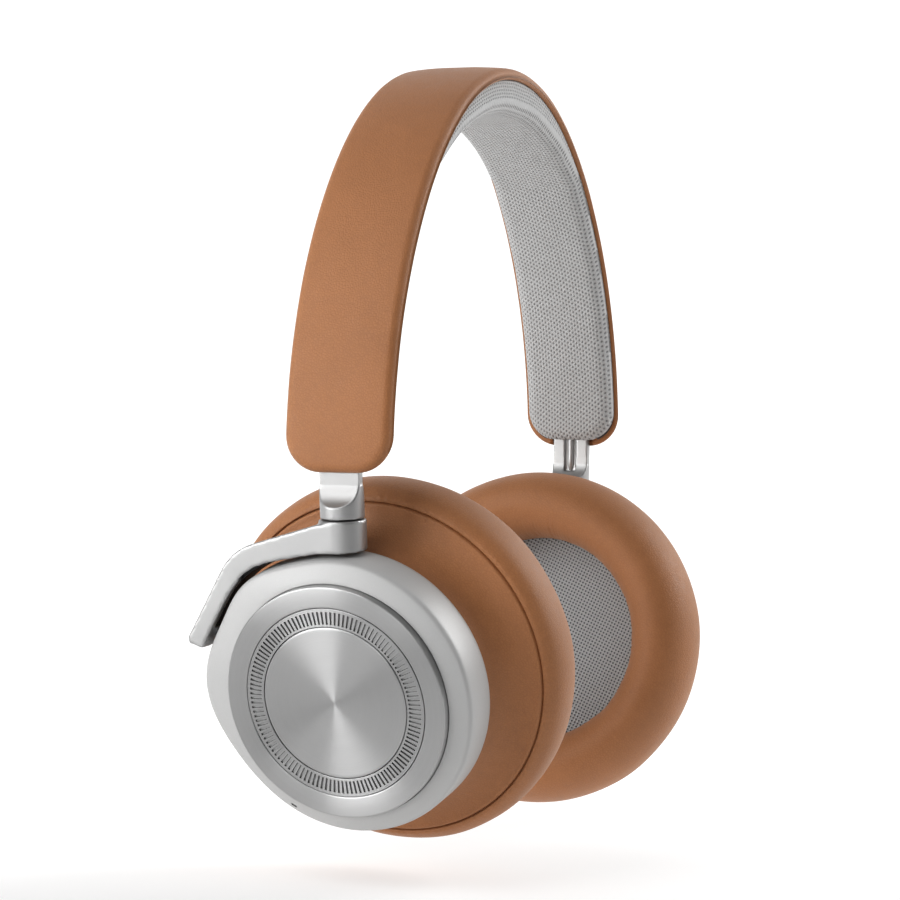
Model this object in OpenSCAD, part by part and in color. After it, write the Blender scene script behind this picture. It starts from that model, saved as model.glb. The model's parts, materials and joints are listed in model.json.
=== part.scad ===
// Over-ear headphones: a leather-covered sprung headband, two curved sliders,
// two one-sided swivel arms and two tilting ear cups with replaceable cushions.
// +Z is up, +X is the wearer's left, -Y is the wearer's front.
// The origin is the middle of the headband's underside, where it rests on the head.
// Each side is drawn in its own frame with +X pointing away from the head.

/* [Headband] */
// Width of the leather strap
band_w = 27.6; // [26:0.2:28.6]
// Thickness of the leather-covered strap
strap_t = 3.6; // [3.4:0.1:3.8]
// Thickness of the whole band at its sides
side_t = 8; // [7.8:0.1:9]
// Thickness of the whole band at the crown
crown_t = 12.7; // [12:0.1:13.4]
// Radius of the outer surface over the crown
crown_r = 74; // [73:0.5:75]
// Radius of the outer surface over the haunches
haunch_r = 95; // [94:0.5:97]
// Radius of the outer surface along the sides
side_r = 109.2; // [108:0.2:110]
// Radius of the strap's rounded end corners
end_corner_r = 9; // [7:0.5:10]

/* [Sliders] */
// Radius of the slider's round foot
foot_r = 5.3; // [5.1:0.1:5.4]
// Depth of the slider's middle below the outer surface
slider_depth = 4.4; // [4.3:0.1:4.5]
// How far the slider reaches into the band, in degrees of its arc
slider_reach = 20; // [18:1:22]

/* [Ear cups] */
// Radius of the cup housing
cup_r = 33.8; // [33.5:0.1:34]
// Depth of the cup's centre below the swivel seam
cup_drop = 41.1; // [41:0.1:41.5]
// Radius of the metal disc on the outer face
disc_r = 28.7; // [28.5:0.1:29]
// Number of slots in the slotted ring
slot_count = 120; // [90:10:120]
// Outer radius of the ear cushion
cushion_r = 45.9; // [45:0.1:46]
// Distance from the cup's middle plane to the cushion's face
cushion_face = 38; // [36:0.5:39]

/* [Resting angles] */
// How far the right cup is turned to the rear
right_toe = 3.7; // [0:0.1:5]
// How far the top of the right cup leans out from its arm
right_lean = 7.7; // [0:0.1:9]
// How far the left cup is turned to the rear
left_toe = 2.2; // [0:0.1:5]
// How far the top of the left cup leans out from its arm
left_lean = 1; // [0:0.1:9]
// How much further the left slider is drawn out than the right, in degrees of the band's arc
left_slide = 1.35; // [0:0.05:3]

/* [Hidden] */
$fn = 96;

// Outline of the band: three tangent arcs on each side, measured from the vertical.
crown_end = 33;
haunch_end = 48;
band_end = 90.3;
crown_mid = [0, crown_t - crown_r];
haunch_mid = crown_mid + (crown_r - haunch_r) * [sin(crown_end), cos(crown_end)];
side_mid = haunch_mid + (haunch_r - side_r) * [sin(haunch_end), cos(haunch_end)];
band_steps = 60;
cover_t = 1.2;
knit_t = 0.8;
pad_w = 25;
pad_end = 89.4;
crown_pad_half = 44;
spring_end = 62;
guide_start = 64;
guide_end = 0.6;
pad_top = strap_t + 0.06;
guide_w = 15;
guide_top = 1.4;
guide_bottom = 6.4;
strap_foot = side_mid[0] + side_r;

// Slider: it follows the arc of the band's side.
slider_r = side_r - slider_depth;
foot_lean = 4.65;
foot_join = 4;
foot_low = 1.2;
foot_high = 9;
blade_w = 10.2;
blade_in = 0.9;
blade_out = 1.5;
slab_in = 1.02;
slab_out = 1.38;
scoop_low = 4.1;
channel_gap = 0.4;
rib_r = 0.9;
swivel_r = 3;
swivel_end = -5.2;
running_gap = 0.05;

// Arm: a socket under the slider and one curved limb behind the cup.
socket_r = 5.7;
socket_top = 0.9;
clip_seat = -3.4;
clip_room_r = 4.2;
arm_front = 5.75;
arm_back = -3.6;
pivot_drop = 28;
pivot_r = 1.3;
arm_gap = 1;
liner_t = 0.8;
sweep_half = 6.4;

// Cup: stations along the cup's axis, positive outwards.
cup_pivot = cup_drop - pivot_drop;
wall_back = -6.2;
wall_front = 4;
edge_front = 4.9;
face_front = 7;
face_back = 4;
disc_back = 6.2;
disc_front = 9;
cavity_r = 31;
slot_in = 19.5;
slot_out = 22.6;
slot_w = 0.45;
ring_in = 18.9;
ring_out = 23.4;
bushing_r = 2.6;
boss_r = 4.4;
baffle_front = -19.2;
baffle_inner = -17.6;
flange_top = -16.2;
screw_ring_r = 24;
screw_r = 0.8;
screw_tip = -18.7;
hollow_r = 27.7;
cushion_back = -20.7;
seam_r = 42;
seam_x = -17.8;
lobe_peak = 3.4;
shoulder_peak = 2.2;
port_angle = -75;
port_x = -1;
jack_angle = -70;
jack_r = 1.8;
jack_len = 14;
button_front = 34.6;
button_w = 2.4;
button_len = 8;
button_x = -1;

function point_on(mid, r, a) = mid + r * [sin(a), cos(a)];
function right_half(a, d) =
  a < crown_end ? point_on(crown_mid, crown_r - d, a)
  : a < haunch_end ? point_on(haunch_mid, haunch_r - d, a)
  : point_on(side_mid, side_r - d, a);
function band_point(a, d) = let (p = right_half(abs(a), d)) [sign(a) * p[0], p[1]];
function sweep(a0, a1, steps) = [for (i = [0 : steps]) a0 + (a1 - a0) * i / steps];
function pad_depth(a) = side_t + (crown_t - side_t) * max(0, 1 - pow(a / crown_pad_half, 2));
function clamp01(t) = min(1, max(0, t));
function ease(a0, a1, a) = let (t = clamp01((a - a0) / (a1 - a0))) t * t * (3 - 2 * t);
function bend(p0, p1, p2, steps) =
  [for (t = sweep(0, 1, steps)) (1 - t) * (1 - t) * p0 + 2 * t * (1 - t) * p1 + t * t * p2];
function lobe(a) =
  lobe_peak * exp(-pow((a - 3) / 25, 2)) + shoulder_peak * exp(-pow((a - 48) / 17, 2));
function cup_edge(a, grow) = (cup_r + lobe(a) + grow) * [cos(a), sin(a)];
function arm_clear(a) = 0.1 + (arm_gap - 0.1) * (1 - ease(50, 75, a));
function rest_toe(s) = s < 0 ? right_toe : left_toe;
function rest_slide(s) = s < 0 ? 0 : left_slide;
function rest_lean(s) = s < 0 ? right_lean : left_lean;

// Frames -------------------------------------------------------------------
module on_side(s) { mirror([s < 0 ? 1 : 0, 0, 0]) children(); }
// Moves a side's slider and all it carries along the band's arc to where it is set.
module slid(s) {
  on_side(s) translate([side_mid[0], 0, side_mid[1]]) rotate([0, rest_slide(s), 0])
    translate([-side_mid[0], 0, -side_mid[1]]) children();
}
module slider_frame(s) {
  foot = side_mid + slider_r * [cos(foot_lean), -sin(foot_lean)]
    - foot_join * [sin(foot_lean), cos(foot_lean)];
  slid(s) translate([foot[0], 0, foot[1]]) rotate([0, foot_lean, 0]) children();
}
module arm_frame(s) { slider_frame(s) rotate([0, 0, rest_toe(s)]) children(); }
module cup_frame(s) {
  arm_frame(s) translate([0, 0, -pivot_drop]) rotate([0, rest_lean(s), 0])
    translate([0, 0, -cup_pivot]) children();
}

// Shapes -------------------------------------------------------------------
// A strip that follows the whole band between two depths.
module band_strip(d0, d1, w, end) {
  outer = [for (a = sweep(-end, end, band_steps)) band_point(a, d0)];
  inner = [for (a = sweep(end, -end, band_steps)) band_point(a, d1)];
  rotate([90, 0, 0]) linear_extrude(w, center = true) polygon(concat(outer, inner));
}
// A strip whose lower side follows the pad, thicker over the crown.
module pad_strip(d0, trim, w, end) {
  outer = [for (a = sweep(-end, end, band_steps)) band_point(a, d0)];
  inner = [for (a = sweep(end, -end, band_steps)) band_point(a, pad_depth(a) - trim)];
  rotate([90, 0, 0]) linear_extrude(w, center = true) polygon(concat(outer, inner));
}
// A body of constant section along the slider's arc, between two heights in degrees.
module slider_sweep(low, high) {
  translate([side_mid[0], 0, side_mid[1]]) rotate([90, 0, 0]) rotate([0, 0, low])
    rotate_extrude(angle = high - low) children();
}
module section(r0, r1, w) { translate([r0, -w / 2]) square([r1 - r0, w]); }
module extrude_x(x0, x1) {
  translate([x0, 0, 0]) rotate([90, 0, 90]) linear_extrude(x1 - x0) children();
}
module turn_x() { rotate([0, 90, 0]) rotate_extrude() children(); }
module rod_x(r, x0, x1) { translate([x0, 0, 0]) rotate([0, 90, 0]) cylinder(r = r, h = x1 - x0); }
module rod_y(r, y0, y1) { translate([0, y0, 0]) rotate([-90, 0, 0]) cylinder(r = r, h = y1 - y0); }
module ring_x(r_in, r_out, x0, x1) {
  difference() {
    rod_x(r_out, x0, x1);
    rod_x(r_in, x0 - 1, x1 + 1);
  }
}
// Cuts the strap's square ends to rounded corners.
module end_corners(w, r, drop) {
  low = side_mid[1] - drop;
  for (s = [-1, 1], f = [-1, 1])
    translate([s * strap_foot, f * w / 2, low]) difference() {
      translate([-15, -r, -r]) cube([30, 2 * r, 2 * r]);
      translate([0, -f * r, r]) rod_x(r, -16, 16);
      translate([-16, -f * 2 * r - r, -2 * r]) cube([32, 2 * r, 5 * r]);
    }
}
// Moves its children onto the cup's side wall, with +Z pointing outwards.
module on_wall(a) { rotate([a, 0, 0]) rotate([-90, 0, 0]) children(); }
module pill(len, w, z0, z1) {
  translate([0, 0, z0]) linear_extrude(z1 - z0) {
    square([w, len - w], center = true);
    for (f = [-1, 1]) translate([0, f * (len - w) / 2]) circle(r = w / 2, $fn = 24);
  }
}

// Headband -----------------------------------------------------------------
module leather_cover() color("peru") difference() {
  band_strip(0, strap_t, band_w, band_end);
  band_strip(cover_t, strap_t + 1, band_w - 2 * cover_t, band_end - 0.7);
  end_corners(band_w, end_corner_r, 0.55);
  for (s = [-1, 1]) on_side(s) slider_sweep(-2, 90 - guide_start)
    section(side_r - guide_bottom - 1, side_r - guide_top + 0.1, guide_w + 0.2);
}
module band_core() color("dimgray") difference() {
  band_strip(cover_t, strap_t, band_w - 2 * cover_t, band_end - 0.7);
  band_strip(1.9, 2.9, 12.4, spring_end + 0.3);
  end_corners(band_w - 2 * cover_t, end_corner_r - cover_t, -0.8);
  band_strip(3.1, strap_t + 1, 2.4, guide_start + 1);
  for (s = [-1, 1]) on_side(s) slider_sweep(-2, 90.2 - guide_start)
    section(side_r - guide_bottom - 1, side_r - guide_top + 0.1, guide_w + 0.2);
}
module spring_band() color("silver") band_strip(2, 2.8, 12, spring_end);
module headband_cable() color("black") band_strip(3.15, strap_t - 0.05, 1.6, guide_start - 0.5);
module pad_room() {
  for (s = [-1, 1]) on_side(s) slider_sweep(-3, 90.2 - guide_start)
    section(side_r - guide_bottom - 0.1, side_r, guide_w + 0.2);
}
module foam_pad() color("gainsboro") difference() {
  pad_strip(pad_top, knit_t, pad_w - 2 * knit_t, pad_end - 0.4);
  end_corners(pad_w - 2 * knit_t, end_corner_r - 1.8, -4.1);
  pad_room();
}
module knit_cover() color("lightgray") difference() {
  pad_strip(pad_top, 0, pad_w, pad_end);
  pad_strip(strap_t - 1, knit_t, pad_w - 2 * knit_t, pad_end - 0.4);
  end_corners(pad_w, end_corner_r - 1, -3.35);
  pad_room();
}
module end_guide(s) color("gray") on_side(s) difference() {
  union() {
    slider_sweep(guide_end, 2) section(side_r - strap_t + 0.1, side_r - guide_top, guide_w);
    slider_sweep(1.9, 90 - guide_start) section(side_r - guide_bottom, side_r - guide_top, guide_w);
  }
  slider_sweep(-1, slider_reach + 4.5)
    section(slider_r - blade_in - channel_gap, slider_r + blade_out + channel_gap, blade_w + 0.7);
  slider_sweep(-1, 5)
    section(slider_r - blade_in - 1.6, slider_r, 2 * rib_r + 1.2);
  slider_sweep(6, 11) section(slider_r + blade_out, side_r - guide_top - 0.5, 6.4);
}
module end_guide_r() end_guide(-1);
module end_guide_l() end_guide(1);
module friction_spring(s) color("silver") on_side(s)
  slider_sweep(6.2, 10.8) section(side_r - guide_top - 0.85, side_r - guide_top - 0.55, 6);
module friction_spring_r() friction_spring(-1);
module friction_spring_l() friction_spring(1);

// Sliders ------------------------------------------------------------------
// A hollow that runs down from the slab's face and out through the foot's round side.
module scoop(face) {
  curve = bend([foot_r + 0.2, scoop_low - 0.1], [face + 1, scoop_low + 1.7], [face, foot_high], 10);
  rotate([90, 0, 0]) linear_extrude(2 * foot_r + 2, center = true)
    polygon(concat(curve, [[face, foot_high + 1], [foot_r + 2, foot_high + 1],
      [foot_r + 2, scoop_low - 0.1]]));
}
module slider_bar(s) color("silver") difference() {
  union() {
    slider_frame(s) difference() {
      translate([0, 0, foot_low]) cylinder(r = foot_r, h = foot_high - foot_low);
      scoop(slab_out);
      mirror([1, 0, 0]) scoop(slab_in);
    }
    slid(s) slider_sweep(-foot_lean + 0.6, slider_reach)
      section(slider_r - blade_in, slider_r + blade_out, blade_w);
    slider_frame(s) translate([0, 0, swivel_end]) cylinder(r = swivel_r, h = foot_low + 1 - swivel_end);
  }
  slid(s) slider_sweep(-foot_lean + 1.7, slider_reach + 1)
    section(slider_r - blade_in - 1.2, slider_r - blade_in + 0.7, 2 * rib_r + 1.6);
  slider_frame(s) translate([0, 0, -4.65]) difference() {
    cylinder(r = swivel_r + 1, h = 0.9);
    translate([0, 0, -1]) cylinder(r = 2.2, h = 3);
  }
}
module slider_bar_r() slider_bar(-1);
module slider_bar_l() slider_bar(1);
module cable_rib(s) color("silver") slid(s) slider_sweep(-foot_lean + 1.8, slider_reach - 0.2)
  section(slider_r - blade_in - 0.1, slider_r - blade_in + 0.65, 2 * rib_r);
module cable_rib_r() cable_rib(-1);
module cable_rib_l() cable_rib(1);
module swivel_clip(s) color("silver") slider_frame(s) translate([0, 0, -4.6]) difference() {
  cylinder(r = 3.9, h = 0.8);
  translate([0, 0, -1]) cylinder(r = 2.25, h = 3);
  translate([-1.5, -5, -1]) cube([3, 5, 3]);
}
module swivel_clip_r() swivel_clip(-1);
module swivel_clip_l() swivel_clip(1);

// Arms ---------------------------------------------------------------------
// The room that the cup needs as it tilts about the arm's pin.
module cup_room(grow) {
  edge = [for (a = sweep(-25, 125, 60)) cup_edge(a, arm_clear(a) + grow)];
  translate([0, 0, -cup_drop]) extrude_x(-8, 8) polygon(concat([[0, 0]], edge));
  top = [for (a = sweep(112, 46, 16)) cup_edge(a, arm_clear(a) + grow)];
  profile = [for (p = top) [sqrt(pow(p[1] - cup_pivot + 0.1, 2) + pow(sweep_half, 2)), p[0]]];
  y0 = profile[0][1];
  y1 = profile[16][1];
  translate([0, 0, -pivot_drop]) rotate([-90, 0, 0]) rotate_extrude()
    polygon(concat([[0, y0]], profile, [[0, y1]]));
}
module arm_blank() {
  corner = bend([21.8, -5.2], [27.2, -6.9], [30.2, -11.6], 8);
  tail = [[40.2, -28.8], [39.9, -30.1], [36, -31.3], [30, -24]];
  outline = concat([[0, -12], [0, 0.4], [4.4, 0]], corner, tail);
  extrude_x(arm_back, arm_front) polygon(outline);
  translate([0, 0, -12]) cylinder(r = socket_r, h = 12 + socket_top);
}
module liner_shape(grow) {
  outer = [for (a = sweep(24, 60, 18)) cup_edge(a, arm_gap + liner_t + grow)];
  inner = [for (a = sweep(60, 24, 18)) cup_edge(a, arm_gap - grow)];
  translate([0, 0, -cup_drop]) extrude_x(arm_back + 1 - grow, arm_front - 2.4 + grow)
    polygon(concat(outer, inner));
}
module arm(s) color("lightgray") arm_frame(s) difference() {
  arm_blank();
  cup_room(0);
  liner_shape(0.02);
  translate([0, 0, clip_seat]) cylinder(r = swivel_r + running_gap, h = 10);
  translate([0, 0, clip_seat - 10]) cylinder(r = clip_room_r, h = 10);
  translate([-12, 0, -pivot_drop]) rotate([90, 0, 0]) cylinder(r = 23.6, h = 16, center = true);
  translate([0, 0, -pivot_drop]) rod_y(pivot_r, 30, 39.2);
}
module arm_r() arm(-1);
module arm_l() arm(1);
module arm_liner(s) color("black") arm_frame(s) liner_shape(0);
module arm_liner_r() arm_liner(-1);
module arm_liner_l() arm_liner(1);
module tilt_pin(s) color("silver") arm_frame(s) translate([0, 0, -pivot_drop]) rod_y(pivot_r, 28, 39.2);
module tilt_pin_r() tilt_pin(-1);
module tilt_pin_l() tilt_pin(1);

// Cups ---------------------------------------------------------------------
module cup_outline(grow) { polygon([for (a = [0 : 3 : 357]) cup_edge(a > 180 ? a - 360 : a, grow)]); }
module housing_body() {
  extrude_x(wall_back, wall_front) cup_outline(0);
  extrude_x(wall_front, edge_front) cup_outline(-0.8);
  turn_x() polygon([[0, 0], [cup_r - 1, 0], [cup_r - 1, edge_front], [disc_r + 0.3, face_front],
    [disc_r + 0.1, face_front], [disc_r + 0.1, disc_back], [0, disc_back]]);
}
module housing_common() {
  difference() {
    housing_body();
    difference() {
      rod_x(cavity_r, wall_back - 1, face_back);
      translate([0, 0, cup_pivot]) rod_y(boss_r, 24, 36);
    }
    translate([0, 0, cup_pivot]) rod_y(bushing_r, 20, 40);
    on_wall(-59) translate([3, 0, 26]) cylinder(r = 0.5, h = 12);
  }
}
module wall_slot(a, len, w) { on_wall(a) translate([button_x, 0, 0]) pill(len, w, 29, 40); }
module housing_r() color("lightgray") cup_frame(-1) difference() {
  housing_common();
  on_wall(port_angle) translate([port_x, 0, 0]) pill(9.5, 3.7, 29, 40);
  wall_slot(-28, button_len + 0.6, button_w + 0.6);
  wall_slot(-44, button_len + 0.6, button_w + 0.6);
  wall_slot(-98, 7.6, button_w + 0.6);
}
module housing_l() color("lightgray") cup_frame(1) difference() {
  housing_common();
  on_wall(jack_angle) translate([port_x, 0, 0]) translate([0, 0, 29]) cylinder(r = 3.05, h = 10);
  wall_slot(-36, button_len + 0.6, button_w + 0.6);
}
module disc_rim(s) color("silver") cup_frame(s) turn_x() polygon([
  [ring_out + 0.1, disc_back + 0.05], [disc_r, disc_back + 0.05], [disc_r, disc_front - 0.5],
  [disc_r - 0.5, disc_front], [ring_out + 0.4, disc_front - 0.2], [ring_out + 0.1, disc_front - 0.4]]);
module disc_rim_r() disc_rim(-1);
module disc_rim_l() disc_rim(1);
module slot_ring(s) color("gray") cup_frame(s) extrude_x(disc_back + 0.05, disc_front - 0.3) difference() {
  circle(r = ring_out);
  circle(r = ring_in);
  for (i = [0 : slot_count - 1]) rotate(i * 360 / slot_count)
    translate([slot_in, -slot_w / 2]) square([slot_out - slot_in, slot_w]);
}
module slot_ring_r() slot_ring(-1);
module slot_ring_l() slot_ring(1);
module centre_plate(s) color("silver") cup_frame(s) turn_x() polygon([
  [0, disc_back + 0.05], [ring_in - 0.1, disc_back + 0.05], [ring_in - 0.1, disc_front - 0.3],
  [ring_in - 0.4, disc_front - 0.1], [0, disc_front - 0.2]]);
module centre_plate_r() centre_plate(-1);
module centre_plate_l() centre_plate(1);
module tilt_bushing(s) color("goldenrod") cup_frame(s) translate([0, 0, cup_pivot]) difference() {
  rod_y(bushing_r - 0.02, 25, 33);
  rod_y(pivot_r + running_gap, 24, 40);
}
module tilt_bushing_r() tilt_bushing(-1);
module tilt_bushing_l() tilt_bushing(1);
module circuit_board(s) color("darkgreen") cup_frame(s) {
  difference() {
    rod_x(27.5, -1.4, -0.4);
    translate([-3, 22, cup_pivot - 6]) cube([5, 12, 12]);
    if (s < 0) rotate([port_angle, 0, 0]) translate([-3, 23, -6]) cube([5, 8, 12]);
    if (s > 0) rotate([jack_angle, 0, 0]) translate([-3, 16, -4]) cube([5, 14, 8]);
    for (a = [-28, -36, -44, -98]) rotate([a, 0, 0]) translate([-3, 25.5, -5]) cube([5, 6, 10]);
  }
  translate([-0.45, -12, -2]) cube([1.3, 10, 10]);
  translate([-0.45, 3, 6]) cube([1.2, 6, 5]);
  translate([-0.45, -8, -14]) cube([1.6, 7, 4]);
}
module circuit_board_r() circuit_board(-1);
module circuit_board_l() circuit_board(1);
module driver_frame(s) color("black") cup_frame(s) difference() {
  turn_x() polygon([
    [19.3, baffle_inner], [26.4, baffle_inner], [26.4, flange_top], [20.4, flange_top], [12.6, -11.4],
    [9.4, -11.4], [9.4, -12.4], [12.2, -12.4], [19.3, -16.4]]);
  screw_places() rod_x(screw_r + 0.1, -20, -12);
}
module driver_frame_r() driver_frame(-1);
module driver_frame_l() driver_frame(1);
module magnet(s) color("silver") cup_frame(s) turn_x() polygon([
  [0, -6.8], [12.5, -6.8], [12.5, -11.35], [9, -11.35], [9, -8.6], [7.6, -8.6], [7.6, -11.35], [0, -11.35]]);
module magnet_r() magnet(-1);
module magnet_l() magnet(1);
module diaphragm(s) color("lightgray") cup_frame(s) turn_x() {
  dome = bend([0, -17.2], [5, -17.2], [8.2, -14.4], 6);
  cone = bend([8.5, -14.4], [14, -17.4], [19.1, -17], 8);
  skin = concat(dome, cone);
  back = [for (i = [len(skin) - 1 : -1 : 0]) skin[i] + [0, 0.3]];
  polygon(concat(skin, back));
  translate([8.05, -14.3]) square([0.5, 4.6]);
}
module diaphragm_r() diaphragm(-1);
module diaphragm_l() diaphragm(1);
module baffle(s) color("dimgray") cup_frame(s) difference() {
  cove = bend([31.6, -8], [31.6, -15.6], [39.5, -18.2], 10);
  turn_x() polygon(concat([[29.8, -6.3], [31.6, -6.3]], cove,
    [[39.5, baffle_front], [19.6, baffle_front], [19.6, baffle_inner], [27, baffle_inner], [29.8, -13]]));
  screw_places() rod_x(screw_r, screw_tip, -12);
}
module baffle_r() baffle(-1);
module baffle_l() baffle(1);
module fabric_screen(s) color("darkgray") cup_frame(s)
  rod_x(hollow_r - 0.5, baffle_front - 0.85, baffle_front - 0.05);
module fabric_screen_r() fabric_screen(-1);
module fabric_screen_l() fabric_screen(1);
module cushion_ring(s) color("black") cup_frame(s)
  ring_x(hollow_r + 1, 39.4, baffle_front - 1.35, baffle_front - 0.05);
module cushion_ring_r() cushion_ring(-1);
module cushion_ring_l() cushion_ring(1);
module ear_cushion(s) color("peru") cup_frame(s) {
  mid_r = (cushion_r + hollow_r) / 2;
  half_r = (cushion_r - hollow_r) / 2;
  mid_x = -25.3;
  half_x = cushion_face + mid_x;
  skirt = bend([33.3, -7.2], [33.2, -15], [seam_r, seam_x], 8);
  ring = [for (a = sweep(62, 262, 30)) [mid_r + half_r * sin(a), mid_x + half_x * cos(a)]];
  inside = bend([40.3, -17.9], [31.9, -15.5], [31.95, -7.2], 8);
  turn_x() polygon(concat(skirt, ring,
    [[hollow_r + 0.2, cushion_back], [39.7, cushion_back]],
    [[39.7, baffle_front - 0.1], [40.3, baffle_front - 0.1]], inside));
}
module ear_cushion_r() ear_cushion(-1);
module ear_cushion_l() ear_cushion(1);
module microphones(s) color("black") cup_frame(s)
  for (a = [-59, 150, 205])
    rotate([a, 0, 0]) translate([1.4, 29, 0]) rotate([-90, 0, 0]) cylinder(r = 1.2, h = 1.6);
module microphones_r() microphones(-1);
module microphones_l() microphones(1);
module screw_places()
  for (a = [60, 150, 240, 330]) rotate([a, 0, 0]) translate([0, screw_ring_r, 0]) children();
module cup_screws(s) color("silver") cup_frame(s) screw_places() {
  rod_x(screw_r, screw_tip, flange_top + 0.2);
  rod_x(1.9, flange_top, flange_top + 1.2);
}
module cup_screws_r() cup_screws(-1);
module cup_screws_l() cup_screws(1);

// Electrical parts and controls ---------------------------------------------
module battery() color("dimgray") cup_frame(-1) translate([-5.9, -17, -12]) cube([3.9, 34, 24]);
module usb_socket() color("silver") cup_frame(-1) on_wall(port_angle) translate([port_x, 0, 0]) difference() {
  pill(9, 3.2, 26, 33.4);
  pill(8.4, 2.6, 27, 40);
}
module jack_socket() color("silver") cup_frame(1) on_wall(jack_angle) translate([port_x, 0, 33.6 - jack_len])
  difference() {
    cylinder(r = 3, h = jack_len);
    translate([0, 0, -1]) cylinder(r = jack_r, h = jack_len + 2);
  }
module wall_button(s, a, len, front, shift = 0) {
  cup_frame(s) on_wall(a) translate([button_x, shift, 0]) {
    pill(len, button_w, 30, front);
    pill(len - 2, button_w - 0.4, 28.4, 30.1);
  }
}
module volume_up() color("gray") wall_button(-1, -28, button_len, 35.4);
module volume_down() color("gray") wall_button(-1, -44, button_len, button_front);
module power_switch() color("gray") wall_button(-1, -98, 4.8, button_front, -1.1);
module noise_button() color("gray") wall_button(1, -36, button_len, 35);

leather_cover();
band_core();
spring_band();
foam_pad();
knit_cover();
headband_cable();
end_guide_r();
end_guide_l();
friction_spring_r();
friction_spring_l();
slider_bar_r();
slider_bar_l();
cable_rib_r();
cable_rib_l();
swivel_clip_r();
swivel_clip_l();
arm_r();
arm_l();
arm_liner_r();
arm_liner_l();
tilt_pin_r();
tilt_pin_l();
housing_r();
housing_l();
disc_rim_r();
disc_rim_l();
slot_ring_r();
slot_ring_l();
centre_plate_r();
centre_plate_l();
tilt_bushing_r();
tilt_bushing_l();
circuit_board_r();
circuit_board_l();
driver_frame_r();
driver_frame_l();
magnet_r();
magnet_l();
diaphragm_r();
diaphragm_l();
baffle_r();
baffle_l();
fabric_screen_r();
fabric_screen_l();
cushion_ring_r();
cushion_ring_l();
ear_cushion_r();
ear_cushion_l();
microphones_r();
microphones_l();
cup_screws_r();
cup_screws_l();
battery();
usb_socket();
jack_socket();
volume_up();
volume_down();
power_switch();
noise_button();
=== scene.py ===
import json
import math

import bmesh
import bpy
import numpy as np
from mathutils import Matrix, Vector, noise
from mathutils.kdtree import KDTree


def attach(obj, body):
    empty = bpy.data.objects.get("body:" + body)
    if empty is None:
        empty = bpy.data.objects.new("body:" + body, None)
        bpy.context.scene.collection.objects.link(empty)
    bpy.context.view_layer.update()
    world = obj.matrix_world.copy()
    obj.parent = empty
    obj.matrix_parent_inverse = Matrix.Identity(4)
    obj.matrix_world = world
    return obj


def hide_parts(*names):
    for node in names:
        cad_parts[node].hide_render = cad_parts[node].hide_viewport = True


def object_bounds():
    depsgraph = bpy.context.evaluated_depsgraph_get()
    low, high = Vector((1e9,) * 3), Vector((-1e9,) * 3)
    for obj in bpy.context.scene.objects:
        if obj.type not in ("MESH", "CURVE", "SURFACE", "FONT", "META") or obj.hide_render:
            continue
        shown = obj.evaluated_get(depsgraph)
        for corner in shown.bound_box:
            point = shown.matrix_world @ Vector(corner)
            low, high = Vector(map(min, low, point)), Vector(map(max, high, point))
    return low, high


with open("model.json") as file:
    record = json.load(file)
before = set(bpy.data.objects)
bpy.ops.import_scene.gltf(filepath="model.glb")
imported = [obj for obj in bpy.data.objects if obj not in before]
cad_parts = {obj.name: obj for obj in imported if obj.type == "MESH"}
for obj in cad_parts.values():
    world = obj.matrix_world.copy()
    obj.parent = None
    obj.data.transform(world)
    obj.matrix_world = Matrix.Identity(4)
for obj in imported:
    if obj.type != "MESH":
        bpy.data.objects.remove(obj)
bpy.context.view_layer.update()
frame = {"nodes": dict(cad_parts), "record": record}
MM = 0.001

# ---------------------------------------------------------------- dimensions, mm and degrees
# The band's three arcs: radii, thickness at the crown, and where each arc and the pad end
CROWN_R, HAUNCH_R, SIDE_R, CROWN_T = 74.0, 95.0, 109.2, 12.7
CROWN_END, HAUNCH_END, BAND_END, PAD_END = 33.0, 48.0, 90.3, 89.4
# The sliders: arc, lean of the foot, how far its origin lies below the joint with the bar, the left one's
# extra travel at rest, and the bar's and the rib's sizes
SLIDER_R, FOOT_LEAN, FOOT_JOIN, LEFT_SLIDE = 104.8, 4.65, 4.0, 1.35
SLIDER_REACH, BLADE_IN, RIB_R = 20.0, 0.9, 0.9
# The cups: how far the pivot and the middle lie below the foot, the housing's radius, toe-in and lean
PIVOT_DROP, CUP_DROP, CUP_R = 28.0, 41.1, 33.8
RIGHT_TOE, RIGHT_LEAN, LEFT_TOE, LEFT_LEAN = 3.7, 7.7, 2.2, 1.0
# The pieces made here
LEATHER_W, PAD_W, FOAM_W = 13.75, 12.8, 11.5      # half widths of the band's layers
SIDE_PAD = 8.0                                    # how deep the pad's face lies down the sides
CHANNEL = 48.0                                    # length of the slider's channel
SLOT_DEEP, SLOT_TOP = 8.3, 8.88                   # how far out the slots' floor and the ring's face lie
DISC_BACK = 6.25                                  # the back of the disc's three pieces
EAR_R = 28.2                                      # radius of the ear screen


def sn(a):
    return math.sin(math.radians(a))


def cs(a):
    return math.cos(math.radians(a))


CROWN_MID = np.array([0.0, CROWN_T - CROWN_R])
HAUNCH_MID = CROWN_MID + (CROWN_R - HAUNCH_R) * np.array([sn(CROWN_END), cs(CROWN_END)])
SIDE_MID = HAUNCH_MID + (HAUNCH_R - SIDE_R) * np.array([sn(HAUNCH_END), cs(HAUNCH_END)])
S_CROWN = CROWN_R * math.radians(CROWN_END)
S_HAUNCH = S_CROWN + HAUNCH_R * math.radians(HAUNCH_END - CROWN_END)
S_BAND = S_HAUNCH + SIDE_R * math.radians(BAND_END - HAUNCH_END)
S_PAD = S_HAUNCH + SIDE_R * math.radians(PAD_END - HAUNCH_END)


# ---------------------------------------------------------------- frames
def turn(axis, deg):
    """A turn about an axis, as a 4 x 4 array."""
    return np.array(Matrix.Rotation(math.radians(deg), 4, axis))


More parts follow.
